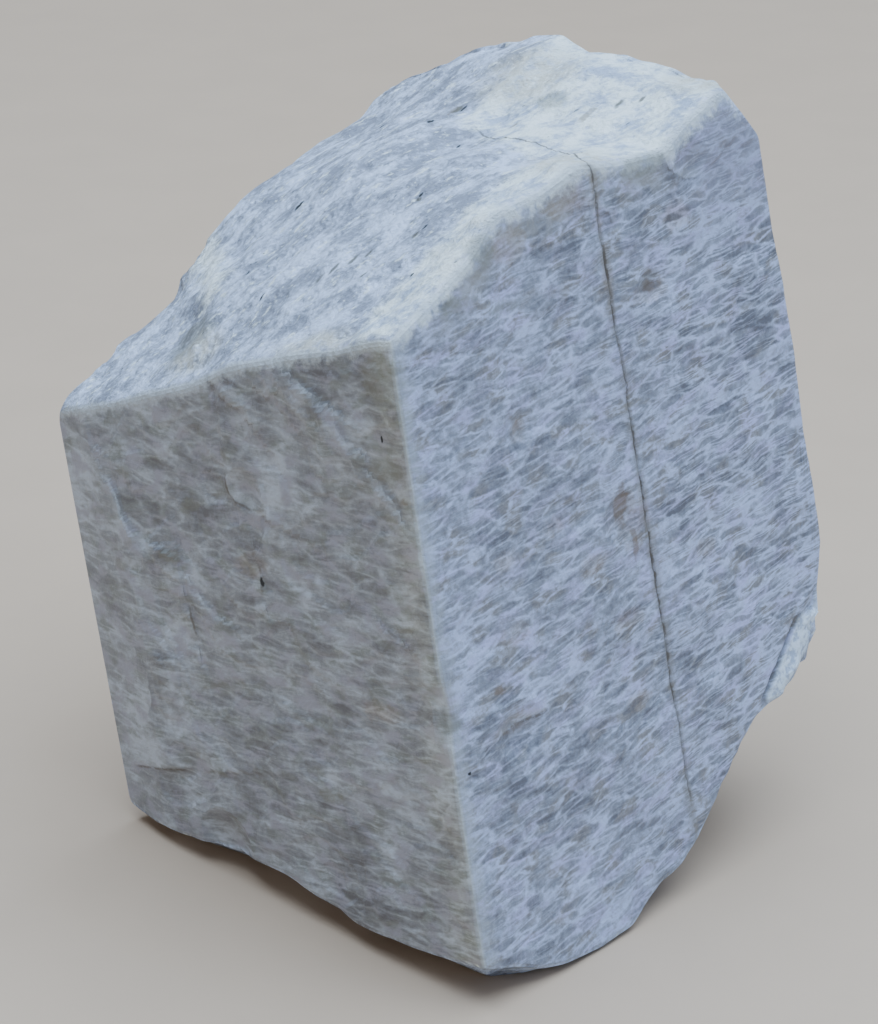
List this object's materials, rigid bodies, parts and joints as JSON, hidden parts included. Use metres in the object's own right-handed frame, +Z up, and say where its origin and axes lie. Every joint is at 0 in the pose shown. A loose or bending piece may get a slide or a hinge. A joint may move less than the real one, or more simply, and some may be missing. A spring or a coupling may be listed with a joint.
{
  "type": "microcline crystal",
  "caption": "Blocky natural microcline crystal: flat cleavage faces meeting at a sharp leaning front edge, broken sloping top, stands on a flat broken foot.",
  "frame": {"origin": "middle of the bounding box in plan, at the level of the flat foot", "axes": "+Z up from the foot; the sharp front edge of the crystal faces -Y, the broad streaked face looks towards +X and -Y, the other cleavage face towards -X and -Y"},
  "size_m": [0.1048, 0.1084, 0.1028],
  "materials": {
    "microcline": "natural cleavage and broken surfaces, matt to slightly glossy, pale grey-blue with fine white streaks"
  },
  "bodies": {
    "root": {"microcline_crystal": "microcline"}
  },
  "joints": []
}
